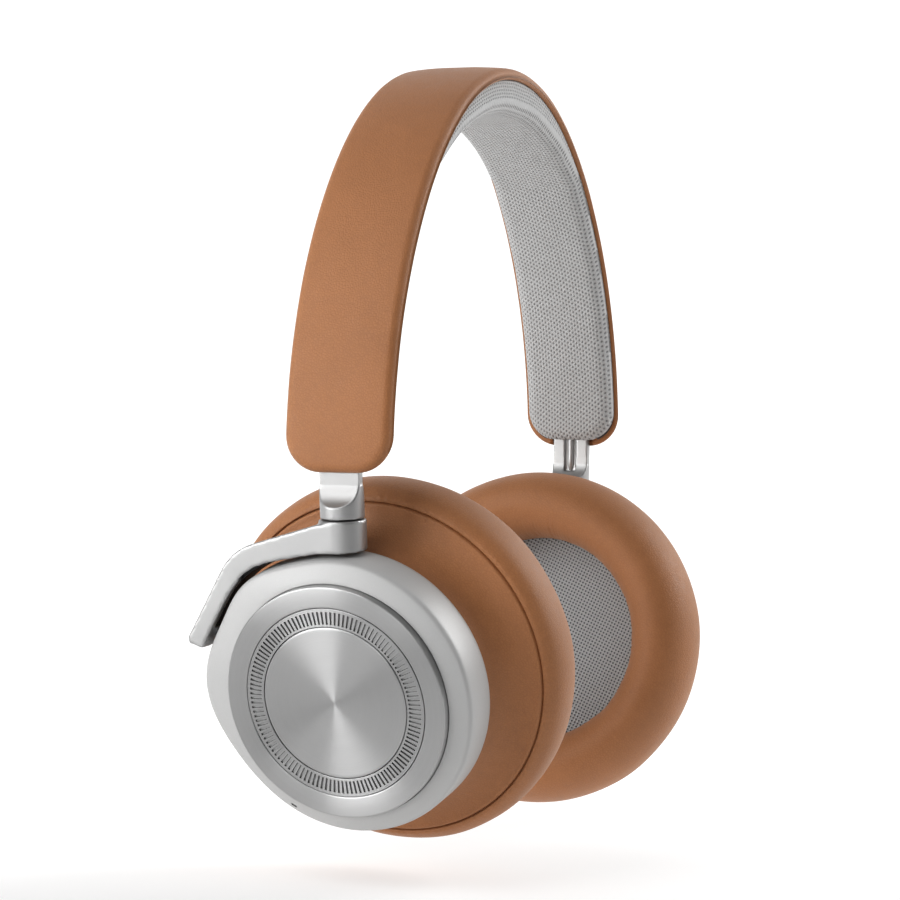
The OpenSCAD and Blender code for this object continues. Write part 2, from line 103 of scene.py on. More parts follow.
def shift(x, y, z):
    m = np.eye(4)
    m[:3, 3] = (x, y, z)
    return m


FOOT = SIDE_MID + SLIDER_R * np.array([cs(FOOT_LEAN), -sn(FOOT_LEAN)])
FOOT = FOOT - FOOT_JOIN * np.array([sn(FOOT_LEAN), cs(FOOT_LEAN)])


def side_frame(s):
    """The left side is s = 1; the right one, s = -1, is its mirror image."""
    return np.diag([float(s), 1.0, 1.0, 1.0])


def slid_frame(s):
    """One side's frame, turned by as much as its slider is out at rest."""
    out = turn("Y", 0.0 if s < 0 else LEFT_SLIDE)
    return side_frame(s) @ shift(SIDE_MID[0], 0, SIDE_MID[1]) @ out @ shift(-SIDE_MID[0], 0, -SIDE_MID[1])


def slider_frame(s):
    """The foot's own frame: Z runs up the slider, and the swivel turns about it."""
    return slid_frame(s) @ shift(FOOT[0], 0, FOOT[1]) @ turn("Y", FOOT_LEAN)


def arm_frame(s):
    """The arm's frame, toed in by its swivel."""
    return slider_frame(s) @ turn("Z", RIGHT_TOE if s < 0 else LEFT_TOE)


def cup_frame(s):
    """The cup's frame: +X is outwards along the disc's axis."""
    lean = RIGHT_LEAN if s < 0 else LEFT_LEAN
    return arm_frame(s) @ shift(0, 0, -PIVOT_DROP) @ turn("Y", lean) @ shift(0, 0, PIVOT_DROP - CUP_DROP)


# ---------------------------------------------------------------- materials
def new_material(name):
    """A material, its node tree and its shader."""
    m = bpy.data.materials.new(name)
    m.use_nodes = True
    t = m.node_tree
    return m, t, t.nodes["Principled BSDF"]


class Nodes:
    """Short forms for building node trees."""

    def __init__(self, tree):
        self.t = tree

    def set(self, node, key, value):
        """Links or sets one input, given by its name or its number."""
        if isinstance(value, bpy.types.NodeSocket):
            self.t.links.new(value, node.inputs[key])
        else:
            node.inputs[key].default_value = value

    def math(self, op, a, b=0.0):
        n = self.t.nodes.new("ShaderNodeMath")
        n.operation = op
        self.set(n, 0, a)
        self.set(n, 1, b)
        return n.outputs[0]

    def vmath(self, op, a, b=(0, 0, 0)):
        n = self.t.nodes.new("ShaderNodeVectorMath")
        n.operation = op
        self.set(n, 0, a)
        self.set(n, 1, b)
        return n.outputs["Value"] if op in ("DOT_PRODUCT", "LENGTH") else n.outputs[0]

    def scaled(self, a, scale):
        n = self.t.nodes.new("ShaderNodeVectorMath")
        n.operation = "SCALE"
        self.set(n, 0, a)
        self.set(n, "Scale", scale)
        return n.outputs[0]

    def ramp(self, fac, stops):
        n = self.t.nodes.new("ShaderNodeValToRGB")
        self.set(n, 0, fac)
        marks = n.color_ramp.elements
        for i, (place, colour) in enumerate(stops):
            mark = marks[i] if i < len(marks) else marks.new(place)
            mark.position = place
            mark.color = (*colour, 1.0)
        return n.outputs[0]

    def grey(self, fac, lo, hi, v0=0.0, v1=1.0):
        """Maps lo..hi to v0..v1."""
        n = self.t.nodes.new("ShaderNodeMapRange")
        self.set(n, 0, fac)
        for i, v in enumerate((lo, hi, v0, v1)):
            n.inputs[i + 1].default_value = v
        return n.outputs[0]

    def noise(self, vec, scale, detail=2.0, rough=0.5):
        n = self.t.nodes.new("ShaderNodeTexNoise")
        self.set(n, "Vector", vec)
        n.inputs["Scale"].default_value = scale
        n.inputs["Detail"].default_value = detail
        n.inputs["Roughness"].default_value = rough
        return n.outputs[0]

    def cell_edges(self, vec, scale):
        n = self.t.nodes.new("ShaderNodeTexVoronoi")
        n.feature = "DISTANCE_TO_EDGE"
        self.set(n, "Vector", vec)
        n.inputs["Scale"].default_value = scale
        return n.outputs["Distance"]

    def mix(self, fac, a, b):
        n = self.t.nodes.new("ShaderNodeMix")
        n.data_type = "RGBA"
        self.set(n, 0, fac)
        for i, v in ((6, a), (7, b)):
            self.set(n, i, v if isinstance(v, bpy.types.NodeSocket) else (*v, 1.0))
        return n.outputs[2]

    def bump(self, height, dist, strength=1.0, normal=None):
        n = self.t.nodes.new("ShaderNodeBump")
        self.set(n, "Height", height)
        n.inputs["Distance"].default_value = dist
        n.inputs["Strength"].default_value = strength
        if normal is not None:
            self.set(n, "Normal", normal)
        return n.outputs[0]

    def coords(self):
        return self.t.nodes.new("ShaderNodeTexCoord").outputs["Object"]

    def attribute(self, name):
        n = self.t.nodes.new("ShaderNodeAttribute")
        n.attribute_name = name
        return n.outputs["Vector"]


def leather():
    """Fine-grained tan leather: soft blotches, small cells and a slightly worn surface."""
    m, t, p = new_material("tan_leather")
    n = Nodes(t)
    pos = n.coords()
    blotch = n.noise(pos, 38.0, 3.0, 0.55)
    fine = n.noise(pos, 420.0, 4.0, 0.6)
    bent = n.vmath("ADD", pos, n.scaled(n.noise(pos, 300.0, 1.0), 0.0008))
    crease = n.grey(n.cell_edges(bent, 1450.0), 0.0, 0.22)
    tans = [(0.25, (0.316, 0.130, 0.043)), (0.5, (0.347, 0.144, 0.049)), (0.75, (0.376, 0.158, 0.056))]
    base = n.ramp(blotch, tans)
    pores = n.mix(n.grey(crease, 0.0, 1.0, 0.72, 1.0), (0.20, 0.075, 0.028), base)
    worn = n.mix(n.grey(fine, 0.35, 0.75, 0.0, 0.30), pores, (0.405, 0.180, 0.072))
    t.links.new(worn, p.inputs["Base Color"])
    t.links.new(n.grey(fine, 0.2, 0.8, 0.50, 0.66), p.inputs["Roughness"])
    height = n.math("ADD", n.math("MULTIPLY", crease, 0.55), n.math("MULTIPLY", fine, 0.9))
    t.links.new(n.bump(height, 0.00014, 0.45, n.bump(blotch, 0.0006, 0.25)), p.inputs["Normal"])
    p.inputs["Specular IOR Level"].default_value = 0.55
    p.inputs["Sheen Weight"].default_value = 0.10
    p.inputs["Sheen Roughness"].default_value = 0.6
    return m


def lattice(n, flow, waves):
    """Cells where all the waves crest together, from 0 to 1; waves are (across, along) cycles per mm."""
    total = None
    for u, v in waves:
        turns = n.vmath("DOT_PRODUCT", flow, (2000 * math.pi * u, 2000 * math.pi * v, 0))
        wave = n.math("COSINE", turns)
        total = wave if total is None else n.math("ADD", total, wave)
    return n.grey(total, -0.5 * len(waves), float(len(waves)))


def knit(name, waves, yarns, painted_hole_shade, hole, depth):
    """Mesh fabric drawn in the piece's own "flow" coordinates, with holes where the waves crest; the holes
    are not cut through, and their dark colour is painted shade inside the openings.
    """
    m, t, p = new_material(name)
    n = Nodes(t)
    flow = n.attribute("flow")
    warp = t.nodes.new("ShaderNodeTexNoise")
    n.set(warp, "Vector", flow)
    warp.inputs["Scale"].default_value = 60.0
    drift = n.scaled(n.vmath("SUBTRACT", warp.outputs["Color"], (0.5, 0.5, 0.5)), 0.0006)
    cell = lattice(n, n.vmath("ADD", flow, drift), waves)
    open_cell = n.grey(cell, hole - 0.15, hole + 0.15)
    yarn = n.noise(flow, 5200.0, 2.0, 0.6)
    tone = n.noise(flow, 90.0, 3.0)
    body = n.mix(n.grey(yarn, 0.3, 0.7), yarns[0], yarns[1])
    body = n.mix(n.grey(tone, 0.3, 0.7, 0.0, 0.18), body, yarns[2])
    # the open cells take the dark hole colour, which is painted shade inside the holes
    t.links.new(n.mix(n.math("MULTIPLY", open_cell, 0.92), body, painted_hole_shade), p.inputs["Base Color"])
    p.inputs["Roughness"].default_value = 0.88
    p.inputs["Specular IOR Level"].default_value = 0.2
    p.inputs["Sheen Weight"].default_value = 0.35
    p.inputs["Sheen Roughness"].default_value = 0.4
    height = n.math("SUBTRACT", n.math("MULTIPLY", yarn, 0.14), cell)
    t.links.new(n.bump(height, depth, 0.9), p.inputs["Normal"])
    return m


def shell_paint():
    """Light grey satin paint with a fine grit."""
    m, t, p = new_material("shell_paint")
    n = Nodes(t)
    pos = n.coords()
    tone = n.noise(pos, 30.0, 2.0)
    grit = n.noise(pos, 3800.0, 2.0, 0.7)
    base = n.mix(n.grey(tone, 0.3, 0.7), (0.440, 0.440, 0.438), (0.475, 0.475, 0.472))
    t.links.new(n.mix(n.grey(grit, 0.35, 0.65, 0.0, 0.16), base, (0.38, 0.38, 0.38)), p.inputs["Base Color"])
    p.inputs["Metallic"].default_value = 0.15
    t.links.new(n.grey(grit, 0.3, 0.7, 0.40, 0.52), p.inputs["Roughness"])
    t.links.new(n.bump(grit, 0.00002, 0.35), p.inputs["Normal"])
    return m


def blasted_metal():
    """Bead-blasted aluminium."""
    m, t, p = new_material("blasted_metal")
    n = Nodes(t)
    pos = n.coords()
    tone = n.noise(pos, 45.0, 2.0)
    grit = n.noise(pos, 5200.0, 3.0, 0.7)
    base = n.mix(n.grey(tone, 0.3, 0.7), (0.385, 0.385, 0.385), (0.425, 0.425, 0.422))
    t.links.new(base, p.inputs["Base Color"])
    p.inputs["Metallic"].default_value = 0.82
    t.links.new(n.grey(grit, 0.3, 0.7, 0.32, 0.44), p.inputs["Roughness"])
    t.links.new(n.bump(grit, 0.00003, 0.5), p.inputs["Normal"])
    return m


def turned_metal(name, shade, rough, groove):
    """Metal turned on a lathe about the piece's own X axis: the tangent is radial, so that the bright
    wedges run out from the middle."""
    m, t, p = new_material(name)
    n = Nodes(t)
    pos = n.coords()
    flat = n.vmath("MULTIPLY", pos, (0, 1, 1))
    radius = n.vmath("LENGTH", flat)
    ring = t.nodes.new("ShaderNodeCombineXYZ")
    n.set(ring, "X", radius)
    lines = n.noise(ring.outputs[0], 9000.0, 3.0, 0.75)
    wide = n.noise(ring.outputs[0], 900.0, 2.0, 0.6)
    base = n.mix(n.grey(lines, 0.3, 0.7), shade[0], shade[1])
    t.links.new(base, p.inputs["Base Color"])
    p.inputs["Metallic"].default_value = 1.0
    t.links.new(n.grey(wide, 0.3, 0.7, rough - 0.03, rough + 0.05), p.inputs["Roughness"])
    p.inputs["Anisotropic"].default_value = 0.92
    to_world = t.nodes.new("ShaderNodeVectorTransform")
    to_world.vector_type = "VECTOR"
    to_world.convert_from = "OBJECT"
    to_world.convert_to = "WORLD"
    n.set(to_world, "Vector", n.vmath("NORMALIZE", flat))
    t.links.new(to_world.outputs[0], p.inputs["Tangent"])
    t.links.new(n.bump(lines, groove, 0.35), p.inputs["Normal"])
    return m


def plain(name, c0, c1, rough, metal=0.0, grain=1800.0, bump=0.00004, spec=0.5):
    """An even material between two shades, with a little grit in colour, gloss and relief."""
    m, t, p = new_material(name)
    n = Nodes(t)
    pos = n.coords()
    grit = n.noise(pos, grain, 3.0, 0.65)
    tone = n.noise(pos, 60.0, 2.0)
    base = n.mix(n.grey(tone, 0.3, 0.7), c0, c1)
    specks = n.mix(n.grey(grit, 0.3, 0.7, 0.0, 0.2), base, tuple(0.8 * v for v in c0))
    t.links.new(specks, p.inputs["Base Color"])
    t.links.new(n.grey(grit, 0.3, 0.7, max(0.02, rough - 0.06), rough + 0.06), p.inputs["Roughness"])
    p.inputs["Metallic"].default_value = metal
    p.inputs["Specular IOR Level"].default_value = spec
    t.links.new(n.bump(grit, bump, 0.5), p.inputs["Normal"])
    return m


LEATHER = leather()
PAD_WAVES = ((0.0, 1.14), (-0.69, 0.72), (0.69, 0.42))
SCREEN_WAVES = ((1.12 * cs(24), 1.12 * sn(24)), (-1.12 * sn(24), 1.12 * cs(24)))
PAD_YARNS = ((0.435, 0.436, 0.436), (0.52, 0.521, 0.521), (0.38, 0.38, 0.38))
SCREEN_YARNS = ((0.37, 0.38, 0.385), (0.45, 0.46, 0.465), (0.33, 0.34, 0.34))
# the third colour of each knit is painted shade inside its holes
KNIT = knit("grey_knit", PAD_WAVES, PAD_YARNS, (0.21, 0.21, 0.21), 0.62, 0.00028)
SCREEN = knit("screen_fabric", SCREEN_WAVES, SCREEN_YARNS, (0.06, 0.065, 0.07), 0.62, 0.00025)
SHELL = shell_paint()
METAL = blasted_metal()
TURNED = turned_metal("turned_metal", ((0.385, 0.385, 0.385), (0.465, 0.465, 0.465)), 0.36, 0.00001)
TURNED_RING = turned_metal("turned_ring", ((0.365, 0.365, 0.365), (0.445, 0.445, 0.445)), 0.36, 0.00001)
BLACK = plain("black_plastic", (0.018, 0.018, 0.018), (0.028, 0.028, 0.028), 0.50)
DARK = plain("dark_plastic", (0.075, 0.075, 0.075), (0.095, 0.095, 0.095), 0.55)
STEEL = plain("spring_steel", (0.55, 0.56, 0.58), (0.63, 0.64, 0.65), 0.28, metal=1.0)
BRASS = plain("bushing_brass", (0.66, 0.48, 0.20), (0.74, 0.56, 0.27), 0.30, metal=1.0)
MAGNET = plain("magnet_steel", (0.42, 0.42, 0.44), (0.50, 0.50, 0.52), 0.35, metal=1.0)
FOAM = plain("foam", (0.72, 0.70, 0.64), (0.80, 0.78, 0.72), 0.9, grain=900.0, bump=0.0004, spec=0.2)
BOARD = plain("board_green", (0.02, 0.12, 0.05), (0.03, 0.17, 0.08), 0.4)
FILM = plain("diaphragm_film", (0.55, 0.55, 0.58), (0.64, 0.64, 0.66), 0.3)
WRAP = plain("battery_wrap", (0.16, 0.17, 0.19), (0.21, 0.22, 0.24), 0.42)
KEY = plain("control_grey", (0.40, 0.40, 0.40), (0.46, 0.46, 0.46), 0.42)
CABLE = plain("cable_jacket", (0.02, 0.02, 0.02), (0.03, 0.03, 0.03), 0.6)
BY_SLOT = {
    "tan_leather": LEATHER, "grey_knit": KNIT, "screen_fabric": SCREEN, "grey_shell": SHELL,
    "satin_aluminium": METAL, "brushed_aluminium": TURNED, "slotted_aluminium": TURNED_RING,
    "dark_plastic": DARK, "black_plastic": BLACK, "cable_jacket": CABLE, "spring_steel": STEEL,
    "bushing_brass": BRASS, "magnet_steel": MAGNET, "foam": FOAM, "board_green": BOARD,
    "diaphragm_film": FILM, "battery_wrap": WRAP, "control_grey": KEY,
}
# the CAD's own pieces take their materials from the record
for sub in frame["record"]["subparts"]:
    mesh = frame["nodes"][sub["node"]].data
    if mesh.materials:
        mesh.materials[0] = BY_SLOT[sub["material_slot"]]
    else:
        mesh.materials.append(BY_SLOT[sub["material_slot"]])


# ---------------------------------------------------------------- mesh helpers
def add_piece(name, verts, faces, body, slot, where=None, nodes=(), flow=None, sharp=None):
    """Makes one piece. verts are in mm in the frame `where`, which becomes the object's own frame, turned
    to a right-handed one where it mirrors."""
    where = np.eye(4) if where is None else np.array(where)
    verts = np.array(verts, float)
    if np.linalg.det(where[:3, :3]) < 0:
        verts = verts * (-1, 1, 1)
        faces = flipped(faces)
        where = where @ np.diag([-1.0, 1, 1, 1])
    mesh = bpy.data.meshes.new(name)
    mesh.from_pydata([tuple(v) for v in verts * MM], [], faces)
    mesh.polygons.foreach_set("use_smooth", [True] * len(mesh.polygons))
    if flow is not None:
        a = mesh.attributes.new("flow", "FLOAT_VECTOR", "POINT")
        a.data.foreach_set("vector", (np.array(flow, float) * MM).ravel())
    mesh.materials.append(BY_SLOT[slot])
    if sharp is not None:
        mesh.set_sharp_from_angle(angle=math.radians(sharp))
    o = bpy.data.objects.new(name, mesh)
    bpy.context.scene.collection.objects.link(o)
    w = where.copy()
    w[:3, 3] *= MM
    o.matrix_world = Matrix([list(r) for r in w])
    bpy.context.view_layer.update()
    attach(o, body)
    if nodes:
        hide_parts(*nodes)
    return o


def apply_modifiers(o):
    """Replaces the mesh by what its modifiers make of it."""
    bpy.context.view_layer.update()
    deps = bpy.context.evaluated_depsgraph_get()
    mesh = bpy.data.meshes.new_from_object(o.evaluated_get(deps), depsgraph=deps)
    o.modifiers.clear()
    o.data = mesh


def read_flow(o):
    """The flow coordinates, with a tree that finds the vertex nearest to a point."""
    n = len(o.data.vertices)
    flow = np.zeros(n * 3)
    o.data.attributes["flow"].data.foreach_get("vector", flow)
    tree = KDTree(n)
    for i, v in enumerate(o.data.vertices):
        tree.insert(v.co, i)
    tree.balance()
    return flow.reshape(-1, 3), tree


def cut_once(o, verts, faces):
    """Subtracts one closed mesh, in mm in the object's own frame."""
    mesh = bpy.data.meshes.new("cutter")
    mesh.from_pydata([tuple(v) for v in np.array(verts) * MM], [], faces)
    bm = bmesh.new()
    bm.from_mesh(mesh)
    bmesh.ops.recalc_face_normals(bm, faces=bm.faces)
    bm.to_mesh(mesh)
    bm.free()
    c = bpy.data.objects.new("cutter", mesh)
    bpy.context.scene.collection.objects.link(c)
    c.matrix_world = o.matrix_world
    b = o.modifiers.new("cut", "BOOLEAN")
    b.object = c
    b.solver = "EXACT"
    apply_modifiers(o)
    bpy.data.objects.remove(c)


def cut(o, cutters):
    """Subtracts closed meshes and keeps the flow coordinates, which the cut would lose."""
    if "flow" not in o.data.attributes:
        for verts, faces in cutters:
            cut_once(o, verts, faces)
        return
    flow, tree = read_flow(o)
    for verts, faces in cutters:
        cut_once(o, verts, faces)
    if "flow" in o.data.attributes:
        o.data.attributes.remove(o.data.attributes["flow"])
    a = o.data.attributes.new("flow", "FLOAT_VECTOR", "POINT")
    a.data.foreach_set("vector", np.array([flow[tree.find(v.co)[1]] for v in o.data.vertices]).ravel())


def grid_faces(rows, cols, close_rows=False, close_cols=False):
    """Four-sided faces over rows x cols points, closed to a tube or a ring where asked."""
    faces = []
    for i in range(rows if close_rows else rows - 1):
        for j in range(cols if close_cols else cols - 1):
            a, b = i * cols, (i + 1) % rows * cols
            c, d = j, (j + 1) % cols
            faces.append((a + c, a + d, b + d, b + c))
    return faces


def flipped(faces):
    return [tuple(reversed(f)) for f in faces]


def wobble(p, scale, seed=0.0):
    """Smooth noise from -1 to 1 at p, in mm; scale is the size of its bumps in mm."""
    return noise.noise(Vector((p[0] / scale + seed, p[1] / scale - seed, p[2] / scale + 2 * seed)))


# ---------------------------------------------------------------- band
def by_stretch(far, crown, haunch, side):
    """One of three values, by the stretch of the band that arc length far lies in."""
    return np.where(far < S_CROWN, crown, np.where(far < S_HAUNCH, haunch, side))


def band_angle(s):
    """The angle from the crown at arc length s along the band's outside."""
    far = np.abs(s)
    return by_stretch(far, far / CROWN_R, math.radians(CROWN_END) + (far - S_CROWN) / HAUNCH_R,
                      math.radians(HAUNCH_END) + (far - S_HAUNCH) / SIDE_R)


def band_point(s, y, depth):
    """The point at arc length s, y across and so deep below the band's outside."""
    s, y, depth = (np.asarray(v, float) for v in (s, y, depth))
    a, far = band_angle(s), np.abs(s)
    r = by_stretch(far, CROWN_R, HAUNCH_R, SIDE_R) - depth
    x = by_stretch(far, CROWN_MID[0], HAUNCH_MID[0], SIDE_MID[0]) + r * np.sin(a)
    z = by_stretch(far, CROWN_MID[1], HAUNCH_MID[1], SIDE_MID[1]) + r * np.cos(a)
    return np.stack([np.where(s < 0, -x, x), y * np.ones_like(x), z], -1)


def plan_grid(half_len, half_w, corner, rows_mid, cols):
    """Arc lengths and widths of a grid that fills a plan with round corners."""
    core = half_len - corner
    bend = [core + corner * sn(a) for a in np.linspace(0, 90, 12)[1:]]
    rows = np.array([-b for b in reversed(bend)] + list(np.linspace(-core, core, rows_mid)) + bend)
    round_w = half_w - corner + np.sqrt(np.maximum(0, corner ** 2 - (np.abs(rows) - core) ** 2))
    width = np.where(np.abs(rows) > core, round_w, half_w)
    even = np.linspace(-1, 1, cols)
    across = 0.55 * np.sin(even * math.pi / 2) + 0.45 * even
    return np.repeat(rows[:, None], cols, 1), width[:, None] * across[None, :]


def edge_fall(S, Y, core, side, corner, edge_r):
    """How far the rounded edge has dropped below the face, from the distance to the plan's outline."""
    qx, qy = np.abs(S) - core, np.abs(Y) - side
    outside = np.sqrt(np.maximum(qx, 0) ** 2 + np.maximum(qy, 0) ** 2)
    inside = np.minimum(np.maximum(qx, qy), 0)
    k = np.clip(corner - outside - inside, 0, edge_r)
    return edge_r - np.sqrt(np.maximum(0, edge_r ** 2 - (edge_r - k) ** 2))


def edge_loop(rows, cols):
    """The (row, column) places once round the grid's edge."""
    there = [(0, j) for j in range(cols)] + [(i, cols - 1) for i in range(1, rows)]
    return there + [(rows - 1, j) for j in range(cols - 2, -1, -1)] + [(i, 0) for i in range(rows - 2, 0, -1)]


def outwards(ls, ly, core, side):
    """Unit normals of the plan's outline; zero along the straight ends."""
    nx = np.sign(ls) * np.maximum(np.abs(ls) - core, 0)
    ny = np.sign(ly) * np.maximum(np.abs(ly) - side, 0)
    size = np.maximum(1e-9, np.hypot(nx, ny))
    return nx / size, ny / size


def strip_piece(half_len, half_w, corner, edge_r, face_depth, grow, rings, rows_mid, cols):
    """A closed strip with rounded plan corners and a rounded edge round its face.
    face_depth(s, y) is the face's depth, grow is +1 if depth grows towards the edge and -1 if it shrinks,
    and rings are the (inset, depth) steps from the edge round to the back."""
    core, side = half_len - corner, half_w - corner
    S, Y = plan_grid(half_len, half_w, corner, rows_mid, cols)
    D = face_depth(S, Y) + grow * edge_fall(S, Y, core, side, corner, edge_r)
    rows = len(S)
    loop = edge_loop(rows, cols)
    ls, ly, last_d = (np.array([grid[place] for place in loop]) for grid in (S, Y, D))
    nx, ny = outwards(ls, ly, core, side)
    pts = [band_point(S, Y, D).reshape(-1, 3)]
    flow = [np.stack([S, Y, np.zeros_like(S)], -1).reshape(-1, 3)]
    faces = grid_faces(rows, cols)
    # the rings of the skirt; the flow coordinates run on round the edge
    prev = [i * cols + j for i, j in loop]
    base, n = rows * cols, len(loop)
    run, last_in = np.zeros(n), 0.0
    around = []
    for inset, depth in rings:
        dd = np.full(n, float(depth))
        run = run + np.hypot(inset - last_in, dd - last_d)
        last_in, last_d = inset, dd
        pts.append(band_point(ls - nx * inset, ly - ny * inset, dd))
        flow.append(np.stack([ls + nx * run, ly + ny * run, np.zeros(n)], -1))
        cur = [base + q for q in range(n)]
        around += [(prev[q], cur[q], cur[(q + 1) % n], prev[(q + 1) % n]) for q in range(n)]
        prev = cur
        base += n
    # the back is the same grid, drawn in to the last ring
    inset, depth = rings[-1]
    Sb, Yb = S * (half_len - inset) / half_len, Y * (half_w - inset) / half_w
    index = {place: prev[q] for q, place in enumerate(loop)}
    inner = [(i, j) for i in range(rows) for j in range(cols) if (i, j) not in index]
    for q, place in enumerate(inner):
        index[place] = base + q
    pts.append(np.array([band_point(Sb[place], Yb[place], depth) for place in inner]))
    flow.append(np.array([(S[place], Y[place], 0) for place in inner]))
    for i in range(rows - 1):
        for j in range(cols - 1):
            around.append((index[i, j], index[i + 1, j], index[i + 1, j + 1], index[i, j + 1]))
    faces = faces + around if grow > 0 else flipped(faces + around)
    return np.concatenate(pts), faces, np.concatenate(flow)


def band_block(s0, s1, half_w, d0, d1, steps=24):
    """A closed block that follows the band, for cutting."""
    ss = np.linspace(s0, s1, steps)
    pts = []
    for s in ss:
        for y, d in ((-half_w, d0), (half_w, d0), (half_w, d1), (-half_w, d1)):
            pts.append(band_point(s, y, d))
    faces = grid_faces(steps, 4, close_cols=True)
    faces += [(3, 2, 1, 0), tuple((steps - 1) * 4 + i for i in range(4))]
    return np.array(pts), faces


def channels(end, half_w, top, bottom):
    """Cutters for the sliders' channels, from the piece's two ends inwards."""
    return [band_block(s * (end - CHANNEL), s * (end + 2), half_w, top, bottom) for s in (-1, 1)]


def leather_depth(S, Y):
    """The strap's face: a little lower towards its edges, and not quite even."""
    d = 0.75 * np.abs(Y / LEATHER_W) ** 2.6
    for i in range(S.shape[0]):
        for j in range(S.shape[1]):
            q = (S[i, j], Y[i, j], 0)
            d[i, j] += 0.10 * wobble(q, 17, 3.1) + 0.035 * wobble(q, 5.0, 7.7)
    return np.maximum(d, 0.0) + 0.05


STRAP_EDGE = [(0, 2.95), (0.12, 3.2), (0.4, 3.46), (0.9, 3.57), (1.5, 3.56)]
verts, faces, flow = strip_piece(S_BAND, LEATHER_W, corner=9.2, edge_r=2.3, face_depth=leather_depth, grow=1,
                                 rings=STRAP_EDGE, rows_mid=190, cols=45)
cover = add_piece("band_leather", verts, faces, "headband", "tan_leather", nodes=["leather_cover"], flow=flow)
cut(cover, [band_block(s * (S_BAND - CHANNEL - 1), s * (S_BAND + 3), 6.0, 2.2, 6.4) for s in (-1, 1)])


def pad_thickness(s):
    """Thick at the crown, thinner down the sides, with two shallow folds across the pad."""
    a = math.degrees(float(band_angle(s)))
    lift = (CROWN_T - SIDE_PAD) * max(0.0, 1 - (a / 44.0) ** 2)
    folds = 0.30 * math.exp(-((a - 45) / 1.6) ** 2) + 0.18 * math.exp(-((a - 61) / 2.2) ** 2)
    return SIDE_PAD + lift - folds


def pad_depth(S, Y):
    """The pad's face, crowned across, with a soft unevenness."""
    d = np.zeros_like(S)
    for i in range(S.shape[0]):
        t = pad_thickness(S[i, 0])
        for j in range(S.shape[1]):
            q = (S[i, j], Y[i, j], 0)
            d[i, j] = t + 0.25 - 0.80 * (Y[i, j] / PAD_W) ** 2
            d[i, j] += 0.16 * wobble(q, 14, 1.7) + 0.05 * wobble(q, 4.5, 5.2)
    return d


def foam_depth(S, Y):
    return pad_depth(S, Y) - 0.85


PAD_EDGE = [(0.05, 3.95), (0.3, 3.62), (1.2, 3.6)]
verts, faces, flow = strip_piece(S_PAD, PAD_W, corner=8.6, edge_r=3.7, face_depth=pad_depth, grow=-1,
                                 rings=PAD_EDGE, rows_mid=210, cols=49)
pad = add_piece("band_knit", verts, faces, "headband", "grey_knit", nodes=["knit_cover"], flow=flow)
cut(pad, channels(S_PAD, 5.6, 2.3, 5.8))
FOAM_EDGE = [(0, 4.4), (0.4, 3.75), (1.2, 3.7)]
verts, faces, flow = strip_piece(S_PAD - 1.0, FOAM_W, corner=7.4, edge_r=2.4, face_depth=foam_depth, grow=-1,
                                 rings=FOAM_EDGE, rows_mid=120, cols=21)
foam = add_piece("band_foam", verts, faces, "headband", "foam", nodes=["foam_pad"], flow=flow)
cut(foam, channels(S_PAD, 5.6, 2.3, 5.8))


# ---------------------------------------------------------------- cups
def lobe(a):
    """How far the housing's outline swells past its circle at angle a, towards the arm."""
    return 3.4 * np.exp(-((a - 3) / 25.0) ** 2) + 2.2 * np.exp(-((a - 48) / 17.0) ** 2)


def smooth_line(points, steps):
    """Catmull-Rom through the points."""
    p = [np.array(q, float) for q in points]
    p = [2 * p[0] - p[1]] + p + [2 * p[-1] - p[-2]]
    out = []
    for a, b, c, d in zip(p, p[1:], p[2:], p[3:]):
        for t in np.linspace(0, 1, steps, endpoint=False):
            square, cube = 2 * a - 5 * b + 4 * c - d, 3 * b - a - 3 * c + d
            out.append(0.5 * ((2 * b) + (c - a) * t + square * t * t + cube * t ** 3))
    out.append(p[-2])
    return out


def slot_outline(length, width):
    """A slot with round ends, as (across, along) points."""
    half, straight = width / 2, (length - width) / 2
    turns = np.linspace(0, 180, 9)
    return [(half * f * cs(t), f * (straight + half * sn(t))) for f in (-1, 1) for t in turns]


def slot_block(ends):
    """The closed block between two equal outlines."""
    n = len(ends[0])
    faces = [tuple(range(n)), tuple(range(2 * n - 1, n - 1, -1))]
    faces += [(i, n + i, n + (i + 1) % n, (i + 1) % n) for i in range(n)]
    return np.array(ends[0] + ends[1]), faces


def wall_directions(a):
    """Outwards and along the rim at angle a."""
    return np.array([0, cs(a), sn(a)]), np.array([0, sn(a), -cs(a)])


def wall_slot(a, length, width, x=-1, r0=29.5, r1=40):
    """Cuts a slot through the cup's side wall at angle a, for a key or a socket."""
    out, along = wall_directions(a)
    outline = slot_outline(length, width)
    return slot_block([[out * r + along * w + np.array([x + u, 0, 0]) for u, w in outline] for r in (r0, r1)])


def face_slit(a, r, length, width, x0, x1):
    """Cuts a slit into the cup's face at angle a and radius r, lying along the rim."""
    out, along = wall_directions(a)
    ring = [out * (r + u) + along * w for u, w in slot_outline(length, width)]
    return slot_block([[q + np.array([x, 0, 0]) for q in ring] for x in (x0, x1)])


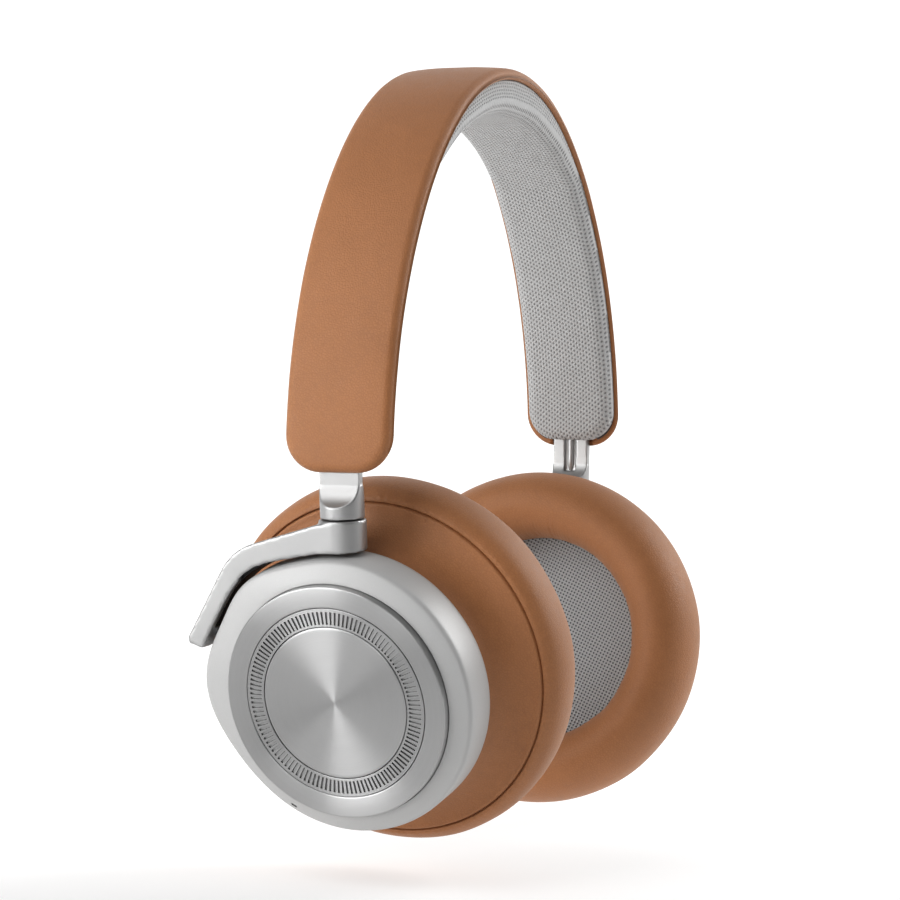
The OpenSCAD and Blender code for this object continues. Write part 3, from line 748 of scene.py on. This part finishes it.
def cup_shell():
    """The painted shell, with its rounded edges, as one closed form."""
    steps = 288
    deg = np.linspace(-180, 180, steps, endpoint=False)
    full = CUP_R + lobe(deg)
    # the face runs out from the disc: (share of the lobed outline, radius of the round part, x)
    face = [(0, 28.82, 6.25), (0, 28.82, 6.82), (0, 28.9, 6.96), (0, 29.2, 6.94), (0.3, 30.3, 6.5),
            (0.7, 31.7, 5.82)]
    # the side wall: (offset from the lobed outline, x)
    wall = [(-0.95, 5.3), (-0.55, 5.02), (-0.26, 4.62), (-0.09, 4.1), (0.0, 3.3), (0.0, -0.4), (0.0, -4.2),
            (-0.04, -5.3), (-0.2, -5.85), (-0.55, -6.15), (-1.1, -6.2)]
    floor = [(0.01, 6.2), (14.0, 6.2)]
    hollow = [(31.0, -6.2), (31.0, 2.2), (30.4, 3.6), (29.0, 4.0), (12.0, 4.0), (0.01, 4.0)]
    rows = [(np.full(steps, r), x) for r, x in floor]
    rows += [(r + share * (full - CUP_R), x) for share, r, x in face]
    rows += [(full + offset, x) for offset, x in wall]
    rows += [(np.full(steps, r), x) for r, x in hollow]
    th = np.radians(deg)
    pts = []
    for radius, x in rows:
        pts += [(x, r * math.cos(t), r * math.sin(t)) for r, t in zip(radius, th)]
    faces = flipped(grid_faces(len(rows), steps, close_cols=True))
    last = (len(rows) - 1) * steps
    return np.array(pts), faces + [tuple(range(steps)), tuple(reversed(range(last, last + steps)))]


def turned(profile, steps, move=None):
    """Turns a closed loop of (radius, x) about X; move(theta, index, r, x) may shift the points."""
    th = np.linspace(0, 2 * math.pi, steps, endpoint=False)
    pts = np.zeros((len(profile), steps, 3))
    for k, (r, x) in enumerate(profile):
        for i, t in enumerate(th):
            rr, xx = (r, x) if move is None else move(t, k, r, x)
            pts[k, i] = (xx, rr * math.cos(t), rr * math.sin(t))
    return pts.reshape(-1, 3), grid_faces(len(profile), steps, True, True)


def slot_ring_mesh(count=120, r0=18.9, r1=19.5, r2=22.6, r3=23.4, half=0.23, mid_r=21.0):
    """The ring between the disc and its rim, with its radial slots."""
    bevel, soft, turn_in = 0.12, 0.03, 0.0012
    slot_radii = (r1 + soft, (r1 + r2) / 2, r2 - soft)
    radii = [r0, r0 + bevel, r1, *slot_radii, r2, r3 - bevel, r3]
    h = half / mid_r
    cols = []
    for i in range(count):
        mid = 2 * math.pi * i / count
        cols += [(mid - h - turn_in, False), (mid - h, True), (mid + h, True), (mid + h + turn_in, False)]
    pts = []
    for r in radii:
        for t, in_slot in cols:
            x = SLOT_TOP - bevel if r in (r0, r3) else SLOT_TOP
            if in_slot and r in slot_radii:
                x = SLOT_DEEP
            pts.append((x, r * math.cos(t), r * math.sin(t)))
    for r in (r3, r0):
        pts += [(DISC_BACK, r * math.cos(t), r * math.sin(t)) for t, _ in cols]
    return np.array(pts), flipped(grid_faces(len(radii) + 2, len(cols), close_rows=True, close_cols=True))


# The ear cushion's section as (radius, x): the back panel from the rim to the seam, the seam's groove, the
# roll round to the ear hollow, and the hidden inside.
PANEL = smooth_line([(32.3, -6.6), (32.6, -8.6), (33.2, -11.2), (34.6, -14.0), (37.0, -16.2), (39.6, -17.3),
                     (41.4, -17.62)], 5)
SEAM = [(41.72, -17.85), (41.84, -18.55), (42.0, -18.95), (42.14, -18.55)]
ROLL = smooth_line([(42.25, -17.95), (43.4, -18.35), (45.0, -20.3), (45.8, -23.0), (45.9, -26.4),
                    (45.2, -30.2), (43.4, -33.9), (40.6, -36.7), (37.2, -37.9), (34.0, -37.4), (31.2, -35.4),
                    (29.3, -32.4), (28.2, -28.8), (27.8, -25.0), (27.8, -21.6), (28.3, -20.7)], 5)
INSIDE = [(33.0, -20.5), (39.2, -20.0), (39.8, -18.6), (38.0, -17.6), (34.6, -15.6), (32.4, -12.4),
          (31.75, -9.0), (31.7, -6.8)]
CUSHION = [*PANEL, *SEAM, *ROLL, *INSIDE]
ROLL_MID = (36.8, -27.5)


def panel_shift(u, v, k, seed):
    """Small waves on the back panel, with puckers close to the seam."""
    edge = (k / (len(PANEL) - 1)) ** 3
    return 0.10 * wobble((u, v, k * 0.7), 11, seed) + edge * 0.05 * wobble((u * 3.0, v * 3.0, k), 2.6, seed)


def roll_shift(u, v, f, seed):
    """The roll's pleats by the seam, and folds and creases round the ear hollow; f is 0 to 1 round it."""
    near_seam = math.exp(-((f - 0.03) / 0.07) ** 2)
    near_ear = math.exp(-((f - 0.76) / 0.12) ** 2)
    pleat = wobble((u * 2.0, v * 2.0, 3.0 * f), 1.9, seed + 2)
    fold = wobble((u * 1.2, v * 1.2, 6.0 * f), 3.4, seed + 5)
    crease = -max(0.0, 1 - 9 * abs(wobble((u * 1.6, v * 1.6, 5.0 * f), 3.1, seed + 7)))
    patch = max(0.0, 0.35 + wobble((u, v, 0), 16, seed + 4))
    soft = wobble((u, v, 40 * f), 13, seed + 9)
    w = near_seam * 0.17 * pleat + 0.16 * soft
    return w + near_ear * (0.12 * fold + 0.08 * pleat + 0.26 * patch * crease)


def cushion_mesh(seed, steps=720):
    """The ear cushion, sculpted point by point."""
    first_seam, first_roll = len(PANEL), len(PANEL) + len(SEAM)

    def move(t, k, r, x):
        u, v = math.cos(t) * 45, math.sin(t) * 45
        if k < first_seam:
            w = panel_shift(u, v, k, seed)
            return r + 0.6 * w, x + w
        if k < first_roll:
            return r, x + 0.03 * wobble((u * 3, v * 3, 0), 2.2, seed)
        if k < first_roll + len(ROLL):
            w = roll_shift(u, v, (k - first_roll) / (len(ROLL) - 1), seed)
            dr, dx = r - ROLL_MID[0], x - ROLL_MID[1]
            size = max(1e-6, math.hypot(dr, dx))
            return r + w * dr / size, x + w * dx / size
        return r, x
    return turned(CUSHION, steps, move)


# The disc's pieces and the ear screen, as loops of (radius, x)
RIM = [(23.5, DISC_BACK), (28.7, DISC_BACK), (28.7, 8.45), (28.68, 8.7), (28.6, 8.86), (28.42, 8.95),
       (28.2, 8.98), (26.5, 8.97), (23.9, 8.92), (23.68, 8.86), (23.53, 8.72), (23.5, 8.55)]
PLATE = [(0.02, 8.92), (6.0, 8.92), (17.9, 8.94), (18.4, 8.93), (18.62, 8.86), (18.74, 8.72), (18.78, 8.55),
         (18.78, DISC_BACK), (0.02, DISC_BACK)]
SCREEN_RADII = (0.02, 2, 5, 8, 11, 14, 17, 20, 23, 25.5, EAR_R)
EAR_SCREEN = [(r, -20.15 - 0.35 * (1 - (r / EAR_R) ** 2)) for r in SCREEN_RADII]
EAR_SCREEN += [(EAR_R, -19.3), (0.02, -19.3)]
# The openings in each side wall: angle, length and width
WALL_SLOTS = {"r": [(-75, 9.5, 3.7), (-28, 8.6, 3.0), (-44, 8.6, 3.0), (-98, 7.6, 3.0)],
              "l": [(-70, 6.1, 6.09), (-36, 8.6, 3.0)]}


for s, tag in ((-1, "r"), (1, "l")):
    place = cup_frame(s)
    body = "cup_" + tag
    verts, faces = cup_shell()
    shell = add_piece("shell_" + tag, verts, faces, body, "grey_shell", where=place, nodes=["housing_" + tag])
    slots = [face_slit(a=-61, r=32.1, length=1.7, width=0.62, x0=4.6, x1=8.0)]
    slots += [wall_slot(*slot) for slot in WALL_SLOTS[tag]]
    cut(shell, [(points * (s, 1, 1), sides) for points, sides in slots])
    shell.data.set_sharp_from_angle(angle=math.radians(38))

    verts, faces = turned(RIM, 256)
    add_piece("rim_plate_" + tag, verts, flipped(faces), body, "brushed_aluminium", where=place,
              nodes=["disc_rim_" + tag], sharp=50)
    verts, faces = slot_ring_mesh()
    add_piece("slotted_ring_" + tag, verts, faces, body, "slotted_aluminium", where=place,
              nodes=["slot_ring_" + tag], sharp=30)
    verts, faces = turned(PLATE, 192)
    add_piece("centre_disc_" + tag, verts, faces, body, "brushed_aluminium", where=place,
              nodes=["centre_plate_" + tag], sharp=50)

    verts, faces = cushion_mesh(11.0 if s < 0 else 23.0)
    cushion = add_piece("ear_pad_" + tag, verts, faces, body, "tan_leather", where=place,
                        nodes=["ear_cushion_" + tag])
    verts, faces = turned(EAR_SCREEN, 128)
    flow = np.stack([verts[:, 1], verts[:, 2], np.zeros(len(verts))], -1)
    add_piece("ear_screen_" + tag, verts, flipped(faces), body, "screen_fabric", where=place,
              nodes=["fabric_screen_" + tag], flow=flow, sharp=60)


# ---------------------------------------------------------------- arms and sliders
def rounded(name, node, body, slot, voxel, passes):
    """The CAD shape with its edges softened."""
    src = frame["nodes"][node]
    mesh = src.data.copy()
    o = bpy.data.objects.new(name, mesh)
    bpy.context.scene.collection.objects.link(o)
    bm = bmesh.new()
    bm.from_mesh(mesh)
    bmesh.ops.remove_doubles(bm, verts=bm.verts, dist=1e-6)
    bmesh.ops.recalc_face_normals(bm, faces=bm.faces)
    bm.to_mesh(mesh)
    bm.free()
    r = o.modifiers.new("remesh", "REMESH")
    r.mode = "VOXEL"
    r.voxel_size = voxel * MM
    c = o.modifiers.new("soften", "SMOOTH")
    c.factor = 0.5
    c.iterations = passes
    apply_modifiers(o)
    o.data.polygons.foreach_set("use_smooth", [True] * len(o.data.polygons))
    o.data.materials.clear()
    o.data.materials.append(BY_SLOT[slot])
    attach(o, body)
    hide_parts(node)
    return o


def rib_mesh(steps=40):
    """The round-topped rib over the cable groove, along the slider's arc, in the side's own frame."""
    angles = np.linspace(-FOOT_LEAN + 1.75, SLIDER_REACH - 0.3, steps)
    top, base = SLIDER_R - BLADE_IN - 0.25, SLIDER_R - BLADE_IN + 0.66
    shoulder = base - 0.25
    pts = []
    for i, a in enumerate(angles):
        end = min(1.0, (i + 0.35) / 2.6)
        half = RIB_R * math.sqrt(end)
        arch = [(shoulder - (shoulder - top) * sn(t) * end, half * cs(t)) for t in np.linspace(0, 180, 11)]
        ring = [(base, -half), (base, half)] + arch
        pts += [(SIDE_MID[0] + r * cs(a), y, SIDE_MID[1] + r * sn(a)) for r, y in ring]
    n = len(ring)
    faces = flipped(grid_faces(steps, n, close_cols=True))
    return np.array(pts), faces + [tuple(range(n)), tuple(reversed(range((steps - 1) * n, steps * n)))]


for s, tag in ((-1, "r"), (1, "l")):
    verts, faces = rib_mesh()
    add_piece("rib_" + tag, verts, faces, "slider_" + tag, "satin_aluminium", where=slid_frame(s),
              nodes=["cable_rib_" + tag], sharp=50)

for tag in "rl":
    rounded("limb_" + tag, "arm_" + tag, "arm_" + tag, "satin_aluminium", voxel=0.34, passes=5)
    rounded("slide_" + tag, "slider_bar_" + tag, "slider_" + tag, "satin_aluminium", voxel=0.22, passes=4)

# ---------------------------------------------------------------- floor, light and camera
# the view: direction, roll and distance from the target, in degrees and metres; the second roll is about
# the right foot
AZ, EL, ROLL, DIST, BAND_ROLL = -68.57, 1.68, 0.46, 0.7687, 0.84
LENS = 119.152
TARGET = Vector((-0.0130, 0.0, -0.0854))
LIT = Vector((0, 0, -0.09))
FLOOR_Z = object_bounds()[0][2] - 0.0006
BEHIND = AZ + 180
FLAG = (-46, -2)
SKY = [(0.0, 0.30), (0.60, 0.38), (0.75, 0.34), (1.0, 0.25)]     # (height from down to up, grey)


def toward(az, el, d=1.0):
    """The place at distance d in the direction az, el, counted from -Y towards +X and upwards."""
    return Vector((sn(az) * cs(el), -cs(az) * cs(el), sn(el))) * d


def floor_paper():
    """Pale plain paper that brightens to white away from the viewer. The brightening is a painted glow: the
    paper emits light, which whitens it and also lights the object from below.
    """
    m, t, p = new_material("floor_paper")
    n = Nodes(t)
    back = n.vmath("DOT_PRODUCT", n.coords(), tuple(toward(BEHIND, 0)))
    near, far = n.grey(back, -0.20, 0.06), n.grey(back, 0.08, 0.45)
    paper = n.mix(n.noise(n.coords(), 3.0), (0.76, 0.76, 0.76), (0.80, 0.80, 0.80))
    shade = n.mix(far, n.mix(near, paper, (0.36, 0.36, 0.36)), (0, 0, 0))
    # painted glow: the paper emits light, more of it away from the viewer, and so also lights the object from
    # below
    glow = n.math("ADD", n.math("MULTIPLY", near, 0.76), n.math("MULTIPLY", far, 0.26))
    t.links.new(shade, p.inputs["Base Color"])
    t.links.new(glow, p.inputs["Emission Strength"])
    p.inputs["Emission Color"].default_value = (1, 1, 1, 1)
    p.inputs["Roughness"].default_value = 0.9
    p.inputs["Specular IOR Level"].default_value = 0.1
    return m


def studio_world():
    """A grey room with a dark flag on the viewer's right and a white wall behind the object."""
    world = bpy.data.worlds.new("studio")
    world.use_nodes = True
    t = world.node_tree
    n = Nodes(t)
    direction = t.nodes.new("ShaderNodeTexCoord").outputs["Generated"]
    split = t.nodes.new("ShaderNodeSeparateXYZ")
    t.links.new(direction, split.inputs[0])
    height = n.grey(split.outputs[2], -1.0, 1.0)
    sky = n.ramp(height, [(place, (grey, grey, grey)) for place, grey in SKY])
    flag = n.grey(n.vmath("DOT_PRODUCT", direction, tuple(toward(*FLAG))), 0.70, 0.97)
    dim = n.mix(n.math("MULTIPLY", flag, 0.85), sky, (0, 0, 0))
    wall = n.grey(n.vmath("DOT_PRODUCT", direction, tuple(toward(BEHIND, 0))), 0.55, 0.86)
    t.links.new(n.mix(wall, dim, (1, 1, 1)), t.nodes["Background"].inputs["Color"])
    t.nodes["Background"].inputs["Strength"].default_value = 1.0
    return world


def area_light(name, az, el, dist, width, height, power):
    """A soft box that faces the object."""
    data = bpy.data.lights.new(name, "AREA")
    data.shape = "RECTANGLE"
    data.size = width
    data.size_y = height
    data.energy = power
    o = bpy.data.objects.new(name, data)
    scene.collection.objects.link(o)
    o.location = LIT + toward(az, el, dist)
    o.rotation_euler = (LIT - o.location).to_track_quat("-Z", "Y").to_euler()
    o.visible_camera = False


scene = bpy.context.scene
bm = bmesh.new()
bmesh.ops.create_circle(bm, cap_ends=True, segments=96, radius=6.0)
mesh = bpy.data.meshes.new("floor")
bm.to_mesh(mesh)
bm.free()
floor = bpy.data.objects.new("floor", mesh)
scene.collection.objects.link(floor)
floor.location = (0, 0, FLOOR_Z)
mesh.materials.append(floor_paper())

scene.view_settings.view_transform = "Standard"
scene.view_settings.look = "Medium High Contrast"
scene.world = studio_world()
area_light("key", az=-130, el=6, dist=0.9, width=0.55, height=0.75, power=5.2)
area_light("upper", az=-112, el=46, dist=0.9, width=0.50, height=0.40, power=1.8)
area_light("front", az=-90, el=-4, dist=1.0, width=0.50, height=0.60, power=1.6)
area_light("rim", az=42, el=26, dist=0.9, width=0.45, height=0.45, power=4.4)

cam_data = bpy.data.cameras.new("camera")
cam_data.sensor_width = 36.0
cam_data.lens = LENS
cam = bpy.data.objects.new("camera", cam_data)
scene.collection.objects.link(cam)
cam.location = TARGET + toward(AZ, EL, DIST)
look = (TARGET - cam.location).to_track_quat("-Z", "Y")
cam.rotation_euler = (look.to_matrix() @ Matrix.Rotation(math.radians(ROLL), 3, "Z")).to_euler()
bpy.context.view_layer.update()
pivot = Matrix.Translation(Vector((-FOOT[0] * MM, 0, FOOT[1] * MM)))
band_roll = pivot @ Matrix.Rotation(math.radians(BAND_ROLL), 4, "Y") @ pivot.inverted()
cam.matrix_world = band_roll @ cam.matrix_world
scene.camera = cam
